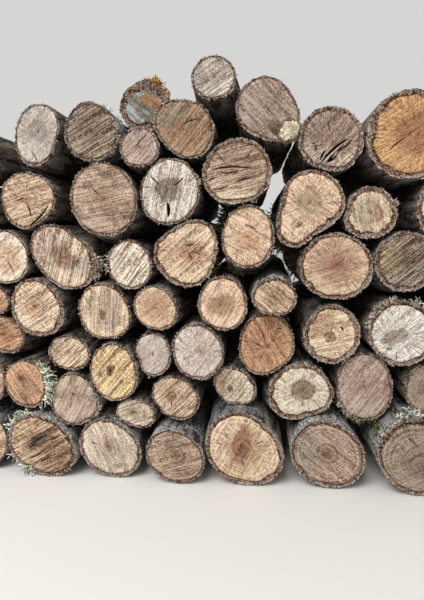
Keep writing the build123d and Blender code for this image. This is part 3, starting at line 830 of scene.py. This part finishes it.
# The logs that end the stack on its two sides
# More of the same logs, lying one above another at the left and at the right end of the stack.
# Each end is one node of several logs, and every log in it has a wood of its own.
lay("left_end_logs", ("tan", "cream", "ash", "peach", "brown"), turn=20)
lay("right_end_logs", ("ash", "tan", "pink", "cream"), turn=20)

# The lichen on the bark
# Shrubby lichen grew on the living trees and still hangs on the logs in pale grey-green tufts.
# Each tuft is a clump of forked strands, a millimetre or two thick, rooted in the bark.
LIFTED = 0.001  # strands that reach the floor lie this far above it
ROOTED = 0.003  # how deep in the bark a strand starts
JOINTS = 3  # straight lengths in a strand
JOINT_LENGTHS = (0.2, 0.5)  # the shortest and longest of them, as shares of the tuft's size
SPREAD = 420  # degrees round the log that a tuft spreads for each metre of its size
LEAST_DEPTH = 0.001  # no strand starts closer than this behind the cut
TAPER = 0.2  # share of its thickness that a strand loses at each joint


def leaf_material(name, deep, tip):
    """Lichen or moss, in random patches of two colours, the darker one painted shade that stands for the
    depth of the clump.
    """
    made, tree, shader = material(name, 0.95)
    clumps = grain(tree, shade(tree, "TexCoord", output="Object"), 150, 2, 0.6)
    # The deep colour is painted shade, laid in random patches
    coat(tree, shader, blend(tree, rise(tree, clumps, 0.42, 0.55), paint(deep), paint(tip)))
    return made


def tuft(mesh, node, toward, depth, size, strands, thick, rng):
    """Grows a clump of forked strands on the bark: toward degrees about the log, depth behind the cut."""
    surface, middle, near = laid[node]
    for _ in range(strands):
        angle = math.radians(toward + rng.gauss(0, 1) * size * SPREAD)
        outward = Vector((math.cos(angle), 0, math.sin(angle)))
        start = Vector((middle[0], near + max(LEAST_DEPTH, depth + rng.gauss(0, 0.35) * size), middle[1]))
        spot = surface.ray_cast(start, outward)[0] - outward * ROOTED
        way = (outward + Vector([rng.gauss(0, 0.5) for _ in range(3)])).normalized()
        for joint in range(JOINTS):
            long = size * rng.uniform(*JOINT_LENGTHS)
            root = thick * (1 - TAPER * joint)
            tip = thick * (1 - TAPER - TAPER * joint)
            made = bmesh.ops.create_cone(mesh, cap_ends=True, segments=3, radius1=root, radius2=tip,
                                         depth=long)["verts"]
            turn = way.to_track_quat("Z", "Y").to_matrix().to_4x4()
            bmesh.ops.transform(mesh, verts=made, matrix=Matrix.Translation(spot + way * long / 2) @ turn)
            for vertex in made:
                vertex.co.z = max(vertex.co.z, cad_low.z + LIFTED)
            spot = spot + way * long
            way = (way + Vector([rng.gauss(0, 0.6) for _ in range(3)])).normalized()


def grow(name, made_of, logs, thick):
    """One piece with all the tufts of a kind: each log, and (angle, depth, size, strands) of its tufts."""
    rng = random.Random(sum(len(tufts) for _, *tufts in logs))
    clumps = []
    for node, *tufts in logs:
        for toward, depth, size, strands in tufts:
            clump = bmesh.new()
            tuft(clump, node, toward, depth / MM, size / MM, strands, thick, rng)
            clumps.append(as_object(name, clump, (made_of,)))
    join(clumps)
    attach(clumps[0], "root")


LICHEN = leaf_material("shrubby_lichen", "7c8468", "eceedd")
grow("lichen_tufts", LICHEN, (
    ("second_row_log_3", (10, 3, 26, 30), (-15, 4, 26, 34), (40, 8, 20, 22), (-40, 4, 20, 24)),
    ("floor_log_3", (140, 8, 20, 24), (120, 14, 16, 14), (-120, 5, 18, 24), (-138, 6, 18, 24),
     (-152, 8, 14, 14)),
    ("floor_log_8", (92, 26, 20, 22), (112, 18, 14, 14), (74, 36, 16, 16)),
    ("second_row_log_10", (-110, 8, 18, 18)), ("sixth_row_log_5", (-60, 20, 10, 8)),
    ("third_row_log_9", (60, 20, 14, 12)), ("top_row_log_7", (70, 30, 16, 20), (110, 70, 16, 20)),
    ("top_row_log_2", (60, 30, 12, 10), (40, 60, 14, 12)), ("left_end_logs", (60, 30, 16, 14))), 0.0013)

# The moss between the logs
# Yellow-green moss has kept to the damp gaps, under the logs and where two of them meet.
# It is short and dense, with dry brown ends.
MOSS = leaf_material("moss", "2d2d1a", "6f7240")
grow("moss_clumps", MOSS, (
    ("second_row_log_9", (-95, 8, 14, 60), (-75, 12, 14, 50), (-115, 8, 12, 40)),
    ("fifth_row_log_5", (-40, 30, 14, 60), (-25, 50, 14, 60)), ("fifth_row_log_6", (-110, 40, 14, 60)),
    ("second_row_log_10", (150, 12, 12, 30)), ("floor_log_8", (150, 30, 14, 40)),
    ("floor_log_4", (100, 40, 12, 30))), 0.0010)

# The orange lichen on the weathered log
# A crust of orange lichen grows on the upper side of the log that is set back in the top row.
# It is made of short blunt strands, so dense that they read as a crust.
CRUST = leaf_material("orange_lichen", "7a4a18", "d59a35")
grow("orange_lichen_crust", CRUST, (
    ("top_row_log_7", (60, 10, 14, 50), (85, 25, 14, 50), (110, 50, 14, 40), (45, 40, 12, 30)),), 0.0016)

# The strips of bark on some rims
# Bark tears where the chain leaves the cut, and hangs on there in short pale strips and fibres.
# They grow out of the rims whose real bark is torn most.
STRIPS_OF_BARK = leaf_material("bark_strips", "4c3d31", "c2b6a6")
grow("bark_strips_on_rims", STRIPS_OF_BARK, (
    ("third_row_log_9", (112, 3, 12, 26), (130, 4, 13, 30), (148, 4, 12, 30), (165, 4, 10, 24),
     (-125, 3, 8, 18), (-105, 3, 8, 18)),
    ("second_row_log_9", (-120, 3, 8, 24), (-140, 3, 8, 22), (-100, 3, 8, 20)),
    ("second_row_log_4", (-35, 3, 9, 26), (-60, 3, 8, 24), (-15, 3, 8, 18)),
    ("third_row_log_5", (-100, 3, 7, 14)), ("third_row_log_6", (-75, 3, 7, 16)),
    ("second_row_log_8", (55, 3, 8, 18), (80, 3, 7, 18)), ("third_row_log_8", (-60, 3, 8, 20)),
    ("fifth_row_log_8", (20, 3, 8, 18)), ("fifth_row_log_3", (-12, 6, 13, 40), (-30, 8, 12, 30)),
    ("top_row_log_2", (-15, 4, 9, 26), (10, 4, 9, 26)), ("sixth_row_log_3", (200, 3, 6, 14)),
    ("sixth_row_log_4", (20, 3, 7, 18)), ("fifth_row_log_4", (185, 4, 12, 18), (160, 5, 11, 12))), 0.0012)

# The dry litter in the gaps
# Crumbs of bark and dry leaves have dropped into the hollows between the logs and fill some of them.
# Each clump rests on the bark of one log, some way behind the cuts.
LITTER = leaf_material("dry_litter", "1d1a14", "57503c")
grow("litter_in_gaps", LITTER, (
    ("fifth_row_log_7", (215, 60, 26, 60), (200, 90, 26, 60), (230, 110, 26, 60)),
    ("fourth_row_log_8", (165, 80, 26, 60), (180, 100, 26, 60)),
    ("fifth_row_log_6", (142, 60, 30, 80), (128, 100, 30, 80), (156, 130, 30, 80)),
    ("sixth_row_log_6", (205, 70, 24, 50), (216, 100, 24, 50))), 0.0016)

# The broken knot on a log of the top row
# A branch has torn out of the log's lower side and left a lump of pale splintered wood.
# A collar of torn bark is round it, and a flake of dark bark stands beside it.
LUMP_BEHIND_CUT = 0.004  # how far its middle lies behind the cut


def lump(name, node, across, up, sizes, lean, made_of, rough):
    """A lump of torn wood or bark, so many millimetres across and up from the middle of a cut."""
    _, middle, near = laid[node]
    torn = bmesh.new()
    bmesh.ops.create_icosphere(torn, subdivisions=4, radius=1)
    for vertex in torn.verts:
        point = vertex.co.copy()
        fibres = noise.noise(Vector((point.x * 5, point.y * 1.5, point.z * 5)))
        splinters = abs(noise.noise(Vector((point.x * 11, point.y * 3, point.z * 11))))
        vertex.co = point * (1 + rough * fibres - rough * splinters)
    bmesh.ops.scale(torn, verts=torn.verts, vec=[size / (2 * MM) for size in sizes])
    turn = Matrix.Rotation(-math.radians(lean), 4, "Y")
    place = Vector((middle[0] + across / MM, near + LUMP_BEHIND_CUT, middle[1] + up / MM))
    bmesh.ops.transform(torn, verts=torn.verts, matrix=Matrix.Translation(place) @ turn)
    made = as_object(name, torn, (made_of,))
    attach(made, "root")


def torn_material(name, tone, deep):
    """Splintered wood or bark, with painted shade in the gaps between its fibres, where its relief is low.
    """
    made, tree, shader = material(name, 0.9)
    place = shade(tree, "TexCoord", output="Object")
    splinters = grain(tree, place, 260, 3, 0.7)
    patches = grain(tree, place, 70, 2, 0.6)
    between = blend(tree, 0.5, paint(tone), paint(deep))
    colour = blend(tree, rise(tree, patches, 0.35, 0.6), between, paint(tone))
    # Painted shade where the splinters' relief is low
    colour = blend(tree, rise(tree, splinters, 0.4, 0.48, 0.8, 0), colour, paint(deep))
    coat(tree, shader, colour, splinters, 0.004)
    return made


TORN_WOOD = torn_material("torn_wood", "e8dcc0", "7c6a50")
TORN_BARK = torn_material("torn_bark", "84705f", "2c1f18")
lump("broken_knot", "top_row_log_5", 40, -40, (46, 26, 36), 40, TORN_WOOD, 0.2)
lump("knot_collar", "top_row_log_5", 39, -40, (54, 14, 46), 40, TORN_BARK, 0.25)
lump("knot_flake", "top_row_log_5", 15, -33, (24, 16, 34), 40, TORN_BARK, 0.3)

# The floor under the stack, plain and pale
FLOOR = 60.0  # metres each way
ground = bmesh.new()
bmesh.ops.create_grid(ground, x_segments=2, y_segments=2, size=FLOOR / 2)
bmesh.ops.translate(ground, verts=ground.verts, vec=(0, 0, cad_low.z))
floor_paint, _, floor_shader = material("pale_floor", 0.9)
floor_shader.inputs["Base Color"].default_value = paint("d9d7d3")
floor = as_object("floor", ground, (floor_paint,))

# Soft light from all round, and a broad lamp above and in front, a little to the left
world = bpy.data.worlds.new("studio")
bpy.context.scene.world = world
world.use_nodes = True
world.node_tree.nodes["Background"].inputs["Color"].default_value = paint("f2f2f1")
world.node_tree.nodes["Background"].inputs["Strength"].default_value = 0.75


def lamp(name, place, target, size, power):
    """A square lamp of so many metres and watts, turned towards a target."""
    light = bpy.data.lights.new(name, "AREA")
    light.size = size
    light.energy = power
    made = bpy.data.objects.new(name, light)
    made.location = place
    made.rotation_mode = "QUATERNION"
    made.rotation_quaternion = (Vector(target) - Vector(place)).to_track_quat("-Z", "Y")
    bpy.context.scene.collection.objects.link(made)


lamp("sky", place=(-1.2, -2.6, 3.2), target=(0, 0, 0.3), size=2.4, power=150)
bpy.context.scene.view_settings.view_transform = "Standard"

# The camera: close in front, a little above the middle of the stack and turned slightly left
SENSOR = 36  # millimetres along the picture's long side
LENS = 27.9  # millimetres
CAMERA_ACROSS = 0.1268
CAMERA_FROM_CUTS = 0.930  # from the camera to the plane of most cuts
CUTS_FROM_ORIGIN = 0.2781  # from that plane to the frame's origin
CAMERA_HEIGHT = 0.520
CAMERA_TURN = 5  # degrees to the left
CAMERA_DOWN = 8  # degrees below the level
camera_data = bpy.data.cameras.new("camera")
camera_data.sensor_width = SENSOR
camera_data.lens = LENS
camera = bpy.data.objects.new("camera", camera_data)
camera.location = (CAMERA_ACROSS, -(CAMERA_FROM_CUTS + CUTS_FROM_ORIGIN), CAMERA_HEIGHT)
camera.rotation_euler = (math.radians(90 - CAMERA_DOWN), 0, math.radians(CAMERA_TURN))
bpy.context.scene.collection.objects.link(camera)
bpy.context.scene.camera = camera
